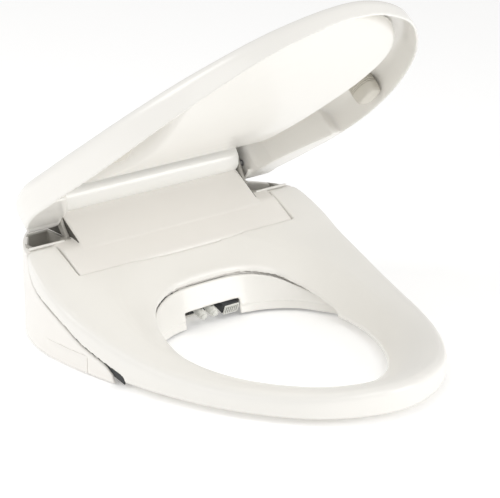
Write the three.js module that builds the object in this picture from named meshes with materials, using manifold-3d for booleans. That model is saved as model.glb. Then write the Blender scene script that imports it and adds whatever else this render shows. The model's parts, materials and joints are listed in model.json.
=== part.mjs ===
// Electric bidet seat with a half-open lid. Units are millimetres, +Z is up, the nose of the seat
// points to -Y and X is the width. The origin is midway between the two mounting-bolt slots, on the
// underside of the mounting plate.
import * as THREE from 'three';
import { mergeVertices } from 'three/addons/utils/BufferGeometryUtils.js';
import Module from 'manifold-3d';

const wasm = await Module();
wasm.setup();

// ---------------------------------------------------------------- driving dimensions
const GAP = 0.4;                 // running gap between touching pieces
const WALL = 2.8;                // moulded wall thickness
const PIVOT_Y = -36;             // common hinge axis of seat and lid
const PIVOT_Z = 128;
const LID_ANGLE = 48.9;            // degrees the lid stands open as built
const DECK_Z = 98;               // flat top of the housing beside and behind the tower
const FLOOR_Z = 1;               // lower edge of the housing walls
const TRAY_Z = 6.6;              // underside of the bottom tray
const TOWER_HALF = 121;          // half width of the central tower
const PANEL_HALF = 144.6;        // half width of the sloping panel between the seat ears
const SEAM_Y = -112;             // seam between panel and seat
const EAR_Y = -64.5;             // rear edge of the seat ears
const ROLL_Y = -28;              // centre of the rounded roll on top of the tower
const ROLL_Z = 136;
const ROLL_R = 18;
const PIN_R = 3.2;
const LID_SWEEP_R = 31;          // clearance radius of the lid round the hinge axis
const BARREL_R = 22;             // outside radius of the lid corners round the hinge axis
const NOZZLE_TILT = 22;          // degrees the wash nozzles slope down towards the front
const APRON_T = 2.6;

// plan outline, right half, from the nose to the rear middle: [x, y]
const OUTLINE = [
  [0, -463], [76.5, -435.4], [132.4, -369.4], [165, -295.3], [183.3, -216], [192, -148.5],
  [190.5, -95], [173, -45], [140, -3], [95, 27], [50, 40], [0, 43]];
// seat opening, matched point for point with the outline: [x, y, height of the inner lip]
const OPENING = [
  [0, -402, 13], [40, -388, 13], [76, -345, 12], [98, -295, 12], [106, -240, 16], [100, -191, 30],
  [84, -163, 42], [62, -149, 50], [44, -144, 53], [28, -142.5, 55], [14, -142, 56], [0, -142, 56]];
// seat height along its length: [y, z]
const CROWN = [
  [-480, 36], [-463, 35], [-420, 31], [-350, 29], [-282, 32], [-235, 39], [-188, 50], [-141, 65],
  [-112, 79], [-94, 88], [-72, 97.5], [-60, 99], [60, 99]];
// seam between housing and seat: [y, z] on the housing side
const SEAM = [
  [-229, 11], [-204, 19], [-174, 29], [-140, 45.5], [-112, 57], [-100, 61], [-84, 69],
  [-75, 79], [-70, 90], [-66.5, DECK_Z]];
// rim of the closed lid: [y, z]
const LID_RIM = [
  [-500, 33], [-463, 33], [-400, 36], [-305, 47], [-220, 62], [-141, 82], [-94, 95.5], [-60, 106]];
// top edge of the closed lid wall: [y, z]
const LID_EDGE = [
  [-500, 55], [-463, 57], [-400, 65], [-305, 82], [-220, 100.5], [-141, 120], [-94, 133],
  [-60, 140], [-41, 143], [60, 146]];
// rise of the closed lid from its edge to its middle: [y, mm]
const LID_CROWN = [[-460, 5], [-300, 7], [-150, 9], [-60, 15], [40, 18]];

// ---------------------------------------------------------------- colours
const SHELL = ['#e9e2d4', 0.34, 0];
const SHELL_IN = ['#e4ddcf', 0.42, 0];
const DARK = ['#3b3c3e', 0.55, 0];
const RUBBER = ['#d8d3c8', 0.8, 0];
const STEEL = ['#b9bcc0', 0.32, 0.9];
const BRASS = ['#b58f4a', 0.35, 0.9];
const CIRCUIT = ['#2d5a3f', 0.6, 0];
const NATURAL = ['#cfd2d0', 0.5, 0];

// ---------------------------------------------------------------- helpers
const group = new THREE.Group();
const rad = (deg) => deg * Math.PI / 180;

function toSolid(geometry) {
  const g = geometry.clone();
  g.deleteAttribute('normal');
  g.deleteAttribute('uv');
  const m = mergeVertices(g, 1e-4);
  return new wasm.Manifold(new wasm.Mesh({
    numProp: 3,
    vertProperties: new Float32Array(m.attributes.position.array),
    triVerts: new Uint32Array(m.index.array)}));
}

function toGeometry(solid) {
  const mesh = solid.getMesh();
  const g = new THREE.BufferGeometry();
  const pos = new Float32Array(mesh.numVert * 3);
  for (let i = 0; i < mesh.numVert; i += 1) {
    for (let k = 0; k < 3; k += 1) pos[3 * i + k] = mesh.vertProperties[mesh.numProp * i + k];
  }
  g.setAttribute('position', new THREE.BufferAttribute(pos, 3));
  g.setIndex(new THREE.BufferAttribute(new Uint32Array(mesh.triVerts), 1));
  return g;
}

function add(name, solid, [color, roughness, metalness]) {
  const geometry = toGeometry(solid);
  geometry.computeVertexNormals();
  const material = new THREE.MeshStandardMaterial({ color, roughness, metalness });
  const mesh = new THREE.Mesh(geometry, material);
  mesh.name = name;
  group.add(mesh);
}

function placed(geometry, x = 0, y = 0, z = 0) {
  return toSolid(geometry.translate(x, y, z));
}

function box(x0, x1, y0, y1, z0, z1) {
  const g = new THREE.BoxGeometry(x1 - x0, y1 - y0, z1 - z0);
  return placed(g, (x0 + x1) / 2, (y0 + y1) / 2, (z0 + z1) / 2);
}

function rodX(x0, x1, y, z, r, n = 24) {
  const g = new THREE.CylinderGeometry(r, r, x1 - x0, n).rotateZ(Math.PI / 2);
  return placed(g, (x0 + x1) / 2, y, z);
}

function rodY(x, y0, y1, z, r, n = 24) {
  return placed(new THREE.CylinderGeometry(r, r, y1 - y0, n), x, (y0 + y1) / 2, z);
}

function rodZ(x, y, z0, z1, r, n = 24) {
  const g = new THREE.CylinderGeometry(r, r, z1 - z0, n).rotateX(Math.PI / 2);
  return placed(g, x, y, (z0 + z1) / 2);
}

function shapeOf(points) {
  return new THREE.Shape(points.map(([a, b]) => new THREE.Vector2(a, b)));
}

function prismZ(points, z0, z1) {
  const options = { depth: z1 - z0, bevelEnabled: false };
  return placed(new THREE.ExtrudeGeometry(shapeOf(points), options), 0, 0, z0);
}

// polygon given as [y, z], swept along X
function prismX(points, x0, x1) {
  const g = new THREE.ExtrudeGeometry(shapeOf(points), { depth: x1 - x0, bevelEnabled: false });
  const turn = new THREE.Matrix4().makeBasis(
    new THREE.Vector3(0, 1, 0), new THREE.Vector3(0, 0, 1), new THREE.Vector3(1, 0, 0));
  g.applyMatrix4(turn);
  return placed(g, x0, 0, 0);
}

function arc(cy, cz, r, from, to, n) {
  const out = [];
  for (let i = 0; i <= n; i += 1) {
    const a = rad(from + (to - from) * i / n);
    out.push([cy + r * Math.cos(a), cz + r * Math.sin(a)]);
  }
  return out;
}

// value of a table of [x, y] pairs, joined by a monotone cubic
function curveAt(table, x) {
  const last = table.length - 1;
  if (x <= table[0][0]) return table[0][1];
  if (x >= table[last][0]) return table[last][1];
  let i = 0;
  while (x > table[i + 1][0]) i += 1;
  const slope = (k) => (table[k + 1][1] - table[k][1]) / (table[k + 1][0] - table[k][0]);
  const tangent = (k) => {
    if (k === 0) return slope(0);
    if (k === last) return slope(last - 1);
    const a = slope(k - 1);
    const b = slope(k);
    return a * b <= 0 ? 0 : 2 * a * b / (a + b);
  };
  const h = table[i + 1][0] - table[i][0];
  const t = (x - table[i][0]) / h;
  const a = table[i][1];
  const b = table[i + 1][1];
  return (2 * t ** 3 - 3 * t ** 2 + 1) * a + (t ** 3 - 2 * t ** 2 + t) * h * tangent(i)
    + (-2 * t ** 3 + 3 * t ** 2) * b + (t ** 3 - t ** 2) * h * tangent(i + 1);
}

// a mirrored half table turned into a closed smooth loop of n points
function loop(half, n, grow = 0) {
  const right = half.map(([x, y, z = 0]) => new THREE.Vector3(x, y, z));
  const left = half.slice(1, -1).reverse().map(([x, y, z = 0]) => new THREE.Vector3(-x, y, z));
  const curve = new THREE.CatmullRomCurve3([...right, ...left], true, 'centripetal');
  const points = [];
  for (let i = 0; i < n; i += 1) points.push(curve.getPoint(i / n));
  return points.map((p, i) => {
    const a = points[(i + n - 1) % n];
    const b = points[(i + 1) % n];
    const length = Math.hypot(b.x - a.x, b.y - a.y);
    return new THREE.Vector3(
      p.x + grow * (b.y - a.y) / length, p.y - grow * (b.x - a.x) / length, p.z);
  });
}

const flat = (points) => points.map((p) => [p.x, p.y]);

// skin over rows of points; rows are closed loops, ends are closed by a fan or joined to each other
function skin(rows, joined) {
  const n = rows[0].length;
  const pos = rows.flat().flatMap((p) => [p.x, p.y, p.z]);
  const index = [];
  const steps = joined ? rows.length : rows.length - 1;
  for (let r = 0; r < steps; r += 1) {
    const s = (r + 1) % rows.length;
    for (let i = 0; i < n; i += 1) {
      const j = (i + 1) % n;
      index.push(r * n + i, r * n + j, s * n + j, r * n + i, s * n + j, s * n + i);
    }
  }
  if (!joined) {
    [0, rows.length - 1].forEach((r) => {
      const c = new THREE.Vector3();
      rows[r].forEach((p) => c.add(p));
      c.divideScalar(n);
      pos.push(c.x, c.y, c.z);
      const k = pos.length / 3 - 1;
      for (let i = 0; i < n; i += 1) {
        const j = (i + 1) % n;
        if (r === 0) index.push(k, r * n + j, r * n + i);
        else index.push(k, r * n + i, r * n + j);
      }
    });
  }
  const g = new THREE.BufferGeometry();
  g.setAttribute('position', new THREE.Float32BufferAttribute(pos, 3));
  g.setIndex(index);
  return toSolid(g);
}

const mirrorX = (solid) => solid.mirror([1, 0, 0]);

// ---------------------------------------------------------------- seat ring
const RING_N = 72;

// ring between opening and outline; inset shrinks it on every side for the hollow inside
function seatRing(inset) {
  const outer = loop(OUTLINE, RING_N, -inset);
  const inner = loop(OPENING, RING_N, inset);
  const rows = [];
  const at = (i, f) => {
    const x = inner[i].x + (outer[i].x - inner[i].x) * f;
    const y = inner[i].y + (outer[i].y - inner[i].y) * f;
    const d = Math.hypot(x - inner[i].x, y - inner[i].y);
    const reach = Math.min(1, d / 46);
    const rise = 1 - (1 - reach) ** 2;
    const lip = inner[i].z;
    return new THREE.Vector3(x, y, lip + (curveAt(CROWN, y) - lip) * rise - inset);
  };
  const floor = (p) => new THREE.Vector3(p.x, p.y, -30);
  rows.push(inner.map(floor));
  rows.push(inner.map((p) => new THREE.Vector3(p.x, p.y, p.z - inset - 3)));
  [0.03, 0.1, 0.22, 0.38, 0.58, 0.78, 0.9].forEach((f) => {
    rows.push(inner.map((p, i) => at(i, f)));
  });
  [[5, 1.2], [1.6, 4]].forEach(([back, drop]) => {
    rows.push(outer.map((p, i) => {
      const length = Math.hypot(p.x - inner[i].x, p.y - inner[i].y);
      const q = at(i, 1 - back / length);
      q.z -= drop;
      return q;
    }));
  });
  rows.push(outer.map((p) => new THREE.Vector3(p.x, p.y, curveAt(CROWN, p.y) - 9 - inset)));
  rows.push(outer.map(floor));
  return skin(rows.reverse(), true);
}

// everything above the seam between seat and housing
function aboveSeam(lift) {
  const seam = SEAM.map(([y, z]) => [y - lift * 0.3, z + lift]);
  return prismX([[-500, 4.5 + lift], [SEAM[0][0] - 9, 4.5 + lift], ...seam,
    [SEAM[9][0] - lift * 0.3, 200], [-500, 200]], -220, 220);
}

function seatKeep(inset) {
  const panel = box(-PANEL_HALF - 1.2 - inset, PANEL_HALF + 1.2 + inset, SEAM_Y - 1 - inset, 80, -40, 200);
  const behind = box(-220, 220, EAR_Y - 1.4 - inset, 80, -40, 200);
  return aboveSeam(1.3).subtract(panel).subtract(behind);
}

const seatOuter = seatRing(0).intersect(seatKeep(0));
const seatHollow = seatRing(WALL).subtract(
  box(-PANEL_HALF - 1.2 - WALL, PANEL_HALF + 1.2 + WALL, SEAM_Y - 1 - WALL, 80, -40, 200))
  .subtract(box(-220, 220, EAR_Y - 1.4 - WALL, 80, -40, 200));

const seatUpper = seatOuter.subtract(seatHollow);
add('seat_upper_shell', seatUpper, SHELL);

const seatBandCut = aboveSeam(1.3).subtract(aboveSeam(3.9));
const lowerInset = WALL + GAP;
const seatLower = seatRing(lowerInset)
  .subtract(box(-PANEL_HALF - 1.2 - lowerInset, PANEL_HALF + 1.2 + lowerInset,
    SEAM_Y - 1 - lowerInset, 80, -40, 200))
  .subtract(box(-220, 220, -86, 80, -40, 200))
  .intersect(seatBandCut);
add('seat_lower_shell', seatLower, SHELL_IN);

// heater mat just under the sitting surface
const matOuter = loop(OUTLINE, 48, -24);
const matInner = loop(OPENING, 48, 14);
function matRow(points, low) {
  return points.map((p, i) => {
    const q = matInner[i];
    const d = Math.hypot(p.x - q.x, p.y - q.y) + 14;
    const rise = 1 - (1 - Math.min(1, d / 46)) ** 2;
    const lip = loop(OPENING, 48)[i].z;
    return new THREE.Vector3(p.x, p.y, lip + (curveAt(CROWN, p.y) - lip) * rise - low);
  });
}
const matMiddle = matInner.map((p, i) => p.clone().lerp(matOuter[i], 0.5));
const mat = skin([matRow(matMiddle, 8), matRow(matOuter, 7.4), matRow(matOuter, 6),
  matRow(matMiddle, 6.6), matRow(matInner, 8.8), matRow(matInner, 10.2)], true)
  .subtract(box(-220, 220, -178, 80, -40, 200));
add('seat_heater_mat', mat, STEEL);

[['front', 62, -405], ['side', 143, -268]].forEach(([where, x, y]) => {
  [['left', -1], ['right', 1]].forEach(([side, s]) => {
    const pad = box(-9, 9, -16, 16, 0, 4.5 - GAP + 1).translate([0, 0, 0]);
    const round = rodZ(0, 0, 0, 5.4, 15, 20).intersect(pad).rotate([0, 0, s * 32]);
    add(`seat_bumper_${where}_${side}`, round.translate([s * x, y, 0]), RUBBER);
  });
});

// ---------------------------------------------------------------- housing
const housingPlan = flat(loop(OUTLINE, 72, -0.6));
const hollowPlan = flat(loop(OUTLINE, 72, -0.6 - WALL));
const seamProfile = (drop) => [[-236, -20], [SEAM[0][0] - 4, FLOOR_Z],
  ...SEAM.map(([y, z]) => [y + drop * 0.3, z - drop]), [60, DECK_Z - drop], [60, -20]];
const panelProfile = (drop) => [[SEAM_Y + drop, 30], [SEAM_Y + drop, 77.4 - drop],
  [SEAM_Y + 3 + drop, 79.6 - drop], [-94 + drop, 87.6 - drop], [-81 + drop, 95 - drop],
  [-76 + drop, DECK_Z - drop], [-40, DECK_Z - drop], [-40, 30]];
const towerProfile = (drop) => [[-81 + drop, 80], [-81 + drop, 95 - drop],
  [-62 + drop, 110 - drop], [-43 + drop, 123 - drop * 0.7], [-30, 125 - drop],
  [-12 - drop, 125 - drop], [-10 - drop, 121 - drop], [-10 - drop, 80]];

// bowl side of the housing: everything in front of the apron is open
const APRON = [[0, -141], [44, -143.5], [70, -152], [94, -170], [112, -200], [128, -231], [150, -262]];
function apronCurve(back, n = 40) {
  const right = APRON.map(([x, y]) => new THREE.Vector3(x, y, 0));
  const left = APRON.slice(1).reverse().map(([x, y]) => new THREE.Vector3(-x, y, 0));
  const curve = new THREE.CatmullRomCurve3([...left, ...right], false, 'centripetal');
  const out = [];
  for (let i = 0; i <= n; i += 1) {
    const p = curve.getPoint(i / n);
    const t = curve.getTangent(i / n);
    out.push([p.x - t.y * back, p.y + t.x * back]);
  }
  return out;
}
const bowlSide = (back) => prismZ([[-250, -300], [250, -300], [250, -261],
  ...apronCurve(back).reverse(), [-250, -261]].map(([x, y]) => [x, y]), -30, 200);

let housing = prismZ(housingPlan, FLOOR_Z, 180).intersect(prismX(seamProfile(0), -220, 220))
  .add(prismX(panelProfile(0), -PANEL_HALF, PANEL_HALF))
  .add(prismX(towerProfile(0), -TOWER_HALF, TOWER_HALF));
const housingHollow = prismZ(hollowPlan, -10, 180).intersect(prismX(seamProfile(WALL), -220, 220))
  .add(prismX(panelProfile(WALL), -PANEL_HALF + WALL, PANEL_HALF - WALL))
  .add(prismX(towerProfile(WALL), -TOWER_HALF + WALL, TOWER_HALF - WALL));
housing = housing.subtract(housingHollow);
// a closed pocket in the deck on each side of the tower, under the lid hinge
[1, -1].forEach((s) => {
  const turn = (solid) => (s > 0 ? solid : mirrorX(solid));
  const pocketPlan = prismZ(flat(loop(OUTLINE, 72, -0.6 - 2 * WALL)), 60, 140);
  const pocketWall = turn(box(TOWER_HALF, 170, -60, -18, 74, 96));
  housing = housing.add(pocketWall.intersect(prismZ(housingPlan, 60, 140)))
    .subtract(turn(box(TOWER_HALF + 2.5, 167.5, -57.5, -20.5, 77, 120)).intersect(pocketPlan));
});
housing = housing.subtract(bowlSide(APRON_T + GAP));

// side cover opening, button opening, pin holes, inlet and cord holes
const COVER_Y0 = -183;
const COVER_Y1 = -112;
const COVER_Z1 = 20.5;
const coverCut = box(-200, -150, COVER_Y0 - GAP, COVER_Y1 + GAP, -5, COVER_Z1 + GAP);
const BUTTON_Y = -84;
const BUTTON_Z = 36;
housing = housing.subtract(coverCut)
  .subtract(rodX(180, 200, BUTTON_Y, BUTTON_Z, 9.4, 28))
  .subtract(rodY(92, 16.4, 60, 20, 7.4));
add('base_housing', housing, SHELL);

// front apron facing the bowl, with the nozzle slot in its lower edge
const SLOT_HALF = 37;
const SLOT_Z = 20.2;
const APRON_LEAN = 0.33;           // how far the apron leans to the front per millimetre of drop
const APRON_Z0 = 12.4;            // lower edge of the apron face; a recessed lip goes on below it
const APRON_LIP = 1.5;
const apronTop = [[-300, -20], [-300, 4], [-236, 4], ...SEAM.map(([y, z]) => [y - 0.2, z - 0.4]),
  [60, 97], [60, -20]];
let apron = prismZ([...apronCurve(0), ...apronCurve(APRON_T).reverse()], APRON_Z0, 60)
  .add(prismZ([...apronCurve(APRON_LIP), ...apronCurve(APRON_T + APRON_LIP).reverse()],
    4, APRON_Z0 + 2))
  .intersect(prismX(apronTop, -220, 220))
  .intersect(prismZ(flat(loop(OUTLINE, 72, -0.6 - WALL - GAP)), -10, 180))
  .subtract(box(-SLOT_HALF, SLOT_HALF, -170, -130, -10, SLOT_Z));
// lean about the line where the apron meets the seat
apron = apron.transform([1, 0, 0, 0, 0, 1, 0, 0, 0, APRON_LEAN, 1, 0, 0, -46 * APRON_LEAN, 0, 1]);
const apronClear = seatRing(-GAP).intersect(aboveSeam(1.3 - GAP))
  .subtract(box(-PANEL_HALF - 1.2, PANEL_HALF + 1.2, SEAM_Y - 1 + GAP, 80, -40, 200));
add('front_apron', apron.subtract(apronClear).intersect(box(-220, 220, -228, 0, 0, 200)), SHELL);

// rounded roll cover on top of the tower
const rollProfile = [...arc(ROLL_Y, ROLL_Z, ROLL_R, 222, -35, 30), [-30, 125.6]];
const rollInner = [...arc(ROLL_Y, ROLL_Z, ROLL_R - WALL, 205, -25, 24), [-16, 120], [-36, 120]];
const PIN_HOLE_X = TOWER_HALF - WALL - 1;
add('roll_cover', prismX(rollProfile, -TOWER_HALF, TOWER_HALF)
  .subtract(prismX(rollInner, -TOWER_HALF + WALL, TOWER_HALF - WALL))
  .subtract(rodX(PIN_HOLE_X, 130, PIVOT_Y, PIVOT_Z, PIN_R + GAP))
  .subtract(rodX(-130, -PIN_HOLE_X, PIVOT_Y, PIVOT_Z, PIN_R + GAP)), SHELL);

// bottom tray
const NOZZLE_SLOPE = Math.tan(rad(NOZZLE_TILT));
const trayPlan = prismZ(flat(loop(OUTLINE, 72, -0.6 - WALL - GAP)), TRAY_Z, TRAY_Z + 2.4);
const tray = trayPlan.intersect(box(-220, 220, -134, 60, 0, 20))
  .subtract(bowlSide(APRON_T + GAP * 2))
  .subtract(rodZ(-70, 0, 0, 20, 7)).subtract(rodZ(70, 0, 0, 20, 7))
  .subtract(rodZ(-110, 0, 0, 20, 9))
  .subtract(coverCut)
  .subtract(rodZ(-146, -98, 0, 20, 2)).subtract(rodZ(146, -98, 0, 20, 2))
  .subtract(rodZ(-60, 24.5, 0, 20, 2)).subtract(rodZ(60, 24.5, 0, 20, 2));
add('base_tray', tray, SHELL_IN);

// mounting plate with two bolt slots
const plate = box(-96, 96, -40, 18, 0, 6)
  .subtract(box(-74, -66, -14, 14, -5, 20)).subtract(box(66, 74, -14, 14, -5, 20))
  .subtract(box(-50, 50, -30, 18, 3, 20));
add('mounting_plate', plate, NATURAL);

[['front_left', -122, -120], ['front_right', 122, -120], ['rear_left', -132, -34],
  ['rear_right', 132, -34]].forEach(([name, x, y]) => {
  add(`base_foot_${name}`, rodZ(x, y, 0, TRAY_Z - GAP, 9, 20), RUBBER);
});

// ---------------------------------------------------------------- wet side
const tankBox = (inset, top) => box(-126 + inset, -46 - inset, -92 + inset, -14 - inset,
  12 + inset, top);
add('water_tank', tankBox(0, 70).subtract(tankBox(2.5, 90)), NATURAL);
add('tank_cover', tankBox(0, 80).intersect(box(-200, 0, -200, 100, 70.4, 74)), NATURAL);
const coilPath = [];
for (let i = 0; i <= 72; i += 1) {
  const a = i / 72 * Math.PI * 6;
  coilPath.push(new THREE.Vector3(-86 + 24 * Math.cos(a), -53 + 24 * Math.sin(a), 24 + 30 * i / 72));
}
const coil = new THREE.ExtrudeGeometry(
  new THREE.Shape(new THREE.Path().absarc(0, 0, 2.6, 0, Math.PI * 2).getPoints(4)
    .slice(0, -1)),
  { steps: 72, extrudePath: new THREE.CatmullRomCurve3(coilPath), bevelEnabled: false });
add('tank_heating_coil', toSolid(coil), STEEL);
add('solenoid_valve', box(-92, -64, -9, 12, 14, 34).add(rodZ(-78, 2, 33, 52, 9)), DARK);
const INLET_X = -110;
const fitting = rodZ(INLET_X, 0, 0.5, 30, 8.5).add(rodX(INLET_X, -92.4, 0, 24, 5))
  .subtract(rodZ(INLET_X, 0, -4, 22, 5.5));
add('water_inlet_fitting', fitting, BRASS);
add('water_pump', rodY(-24, -74, -34, 74, 12).add(box(-36, -12, -34.5, -16, 62, 86)), DARK);

// ---------------------------------------------------------------- wash nozzles
// frame of the nozzles: s runs down the slope from the rear, tilted about X
const NOZZLE_Y = -151;
const NOZZLE_Z = 12;
function sloped(solid) {
  return solid.rotate([NOZZLE_TILT, 0, 0]).translate([0, NOZZLE_Y, NOZZLE_Z]);
}
const NOZZLE_LEN = 96;
[['rear_wash_nozzle', -13], ['front_wash_nozzle', 2]].forEach(([name, x]) => {
  const tube = rodY(x, 0, NOZZLE_LEN, 0, 5).add(rodY(x, -3, 1, 0, 3.6));
  const spray = rodZ(x, 7, 3, 7, 1.6, 12);
  add(name, sloped(tube.subtract(spray)), NATURAL);
});
const carriage = box(-21, 10, 14, 92, -8, 8)
  .subtract(rodY(-13, 0, 110, 0, 5 + GAP)).subtract(rodY(2, 0, 110, 0, 5 + GAP));
add('nozzle_carriage', sloped(carriage), DARK);
add('nozzle_drive_motor', sloped(rodY(-6, 58, 84, 17, 8).add(rodY(-6, 84, 90, 17, 3))), STEEL);

// ---------------------------------------------------------------- dryer
const ductOuter = [[0, -5], [62, -5], [76, 0], [76, 16], [50, 7], [0, 5]];
const duct = prismX(ductOuter, 14, 35).subtract(prismX([[-5, -3.4], [61, -3.4], [90, 4], [90, 13],
  [50, 5.4], [-5, 3.4]], 16, 33));
add('dryer_duct', sloped(duct), DARK);
let grille = box(15, 34, -2.6, -1, -5.6, -4.4).add(box(15, 34, -2.6, -1, 4.4, 5.6));
for (let x = 15; x < 34; x += 2.97) grille = grille.add(box(x, x + 1.2, -2.6, -1, -5.5, 5.5));
add('dryer_grille', sloped(grille.translate([0, 0.4, 0])), NATURAL);
const FAN_Y = -46;
const FAN_Z = 44;
const fanCase = rodX(44, 72, FAN_Y, FAN_Z, 26, 36).subtract(rodX(46.2, 69.8, FAN_Y, FAN_Z, 23.5, 36))
  .subtract(rodX(69, 80, FAN_Y, FAN_Z, 15, 28));
add('dryer_fan_case', fanCase, DARK);
let wheel = rodX(47, 49, FAN_Y, FAN_Z, 21, 30).add(rodX(48, 66, FAN_Y, FAN_Z, 6, 20));
for (let i = 0; i < 16; i += 1) {
  const blade = box(48.5, 68, -0.6, 0.6, 14, 21).rotate([i * 22.5, 0, 0]);
  wheel = wheel.add(blade.translate([0, FAN_Y, FAN_Z]));
}
add('dryer_fan_wheel', wheel, NATURAL);
add('dryer_fan_motor', rodX(72.4, 92, FAN_Y, FAN_Z, 13).add(rodX(66.4, 73, FAN_Y, FAN_Z, 2.4)), STEEL);

// ---------------------------------------------------------------- electrics
add('control_board', box(96, 158, -118, -60, 44, 45.8).add(box(104, 124, -96, -76, 45.6, 52)), CIRCUIT);
add('power_transformer', box(98, 136, -40, -6, 12, 46), STEEL);
add('cord_gland', rodY(92, 12, 34, 20, 7).add(rodY(92, 12, 16, 20, 10)), DARK);
add('deodoriser_fan', box(-160, -132, -84, -50, 12, 50), DARK);
const cover = prismZ(flat(loop(OUTLINE, 72, -0.6)), FLOOR_Z + 0.5, COVER_Z1)
  .intersect(box(-200, -150, COVER_Y0, COVER_Y1, 0, 40))
  .subtract(prismZ(hollowPlan, -10, 60));
const cartridge = box(-190, -152, COVER_Y0 + 18, COVER_Y1 - 5, 4, 18)
  .intersect(prismZ(flat(loop(OUTLINE, 72, -1.4)), 0, 60));
add('filter_cartridge', cover.add(cartridge), SHELL);
add('release_button', rodX(180.4, 191, BUTTON_Y, BUTTON_Z, 9, 28), SHELL_IN);

// ---------------------------------------------------------------- hinges
// each seat arm runs from the pin down beside the tower, then outwards along the rear edge of the ear
const ARM_X0 = TOWER_HALF + 1;
const ARM_X1 = TOWER_HALF + 5.4;
const armLink = [...arc(PIVOT_Y, PIVOT_Z, 6.6, -75, 130, 12), [-52, 115], [EAR_Y + 0.2, 103],
  [EAR_Y + 0.2, DECK_Z + GAP], [EAR_Y + 6.5, DECK_Z + GAP]];
[['left', -1], ['right', 1]].forEach(([side, s]) => {
  const turn = (solid) => (s > 0 ? solid : mirrorX(solid));
  add(`hinge_pin_${side}`, turn(rodX(94, 163, PIVOT_Y, PIVOT_Z, PIN_R)), STEEL);
  const arm = prismX(armLink, ARM_X0, ARM_X1)
    .add(box(ARM_X0, 164, EAR_Y + 0.2, EAR_Y + 4, DECK_Z + GAP, DECK_Z + 3.6))
    .subtract(rodX(100, 160, PIVOT_Y, PIVOT_Z, PIN_R + GAP));
  add(`seat_hinge_arm_${side}`, turn(arm), DARK);
});
const DAMPER_R = 11;
add('seat_damper', rodX(60, 93, PIVOT_Y + 2, PIVOT_Z - 25, DAMPER_R), DARK);
add('lid_damper', rodX(-93, -60, PIVOT_Y + 2, PIVOT_Z - 25, DAMPER_R), DARK);

// ---------------------------------------------------------------- lid, drawn closed then opened
const LID_N = 72;
const DOME_Y = -215;             // middle of the lid along its length
function lidDome(inset) {
  const rim = loop(OUTLINE, LID_N, 1.6 - inset);
  const edge = (p) => curveAt(LID_EDGE, p.y);
  const scaled = (f) => rim.map((p) => {
    const y = DOME_Y + (p.y - DOME_Y) * f;
    const rise = curveAt(LID_CROWN, y) * (1 - f * f);
    return new THREE.Vector3(p.x * f, y, curveAt(LID_EDGE, y) + rise - inset);
  });
  const stepIn = (d, drop) => loop(OUTLINE, LID_N, 1.6 - inset - d)
    .map((p, i) => new THREE.Vector3(p.x, p.y, edge(rim[i]) - drop - inset));
  const rows = [rim.map((p) => new THREE.Vector3(p.x, p.y, -40 - inset)), stepIn(0, 12),
    stepIn(1.2, 6), stepIn(4, 2)];
  [0.93, 0.8, 0.62, 0.42, 0.2].forEach((f) => rows.push(scaled(f)));
  return skin(rows, false);
}

const lidRear = (inset) => [[-36 - inset, 220], [-30 - inset, 170], [-20 - inset, 147],
  [-14.5 - inset, 134], ...arc(PIVOT_Y, PIVOT_Z, BARREL_R - inset, 14, -125, 14)];
const lidProfile = (inset) => prismX([[-520, 220], [-520, 34],
  ...LID_RIM.slice(1).map(([y, z]) => [y, z - inset * 6]),
  ...lidRear(inset).reverse()], -220, 220);

const MIDDLE = TOWER_HALF + 6.4;       // the lid is open between here and -MIDDLE around the tower
const lidSolid = lidDome(0).intersect(lidProfile(0));
const lidVoid = lidDome(WALL).intersect(lidProfile(WALL));
// inside each rear corner: a wall that runs from the skirt back to the tower, and a barrel for the pin
const CHEEK = [[128, -6], [128, -48], [130.5, -62], [138, -80], [154, -106], [178, -143]];
const cheekBack = CHEEK.map(([x, y]) => [x + WALL * 0.93, y + WALL * 0.4]).reverse();
const cheek = prismZ([...CHEEK, ...cheekBack], 40, 220).intersect(lidDome(1)).intersect(lidProfile(0));
const BARREL_X = 131.6;
const KNUCKLE_R = 18;
const barrelStep = box(-168, 168, -62, 60, 60, PIVOT_Z + 3)
  .subtract(rodX(-200, 200, PIVOT_Y, PIVOT_Z, KNUCKLE_R + 0.2, 60));
let lidShell = lidSolid.subtract(lidVoid).subtract(box(-MIDDLE, MIDDLE, -33.5, 60, 0, 260))
  .subtract(rodX(-MIDDLE, MIDDLE, PIVOT_Y, PIVOT_Z, LID_SWEEP_R, 60)).subtract(barrelStep);
[1, -1].forEach((s) => {
  const turn = (solid) => (s > 0 ? solid : mirrorX(solid));
  const boss = rodX(BARREL_X + 4, 172, PIVOT_Y, PIVOT_Z, KNUCKLE_R, 48)
    .add(rodX(BARREL_X, 172, PIVOT_Y, PIVOT_Z, KNUCKLE_R - 3, 48)).intersect(lidDome(1));
  lidShell = lidShell.add(turn(cheek)).add(turn(boss))
    .subtract(turn(rodX(110, 164, PIVOT_Y, PIVOT_Z, PIN_R + GAP)));
});
const opened = (solid) => solid.translate([0, -PIVOT_Y, -PIVOT_Z]).rotate([-LID_ANGLE, 0, 0])
  .translate([0, PIVOT_Y, PIVOT_Z]);
add('lid_shell', opened(lidShell), SHELL);

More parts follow.
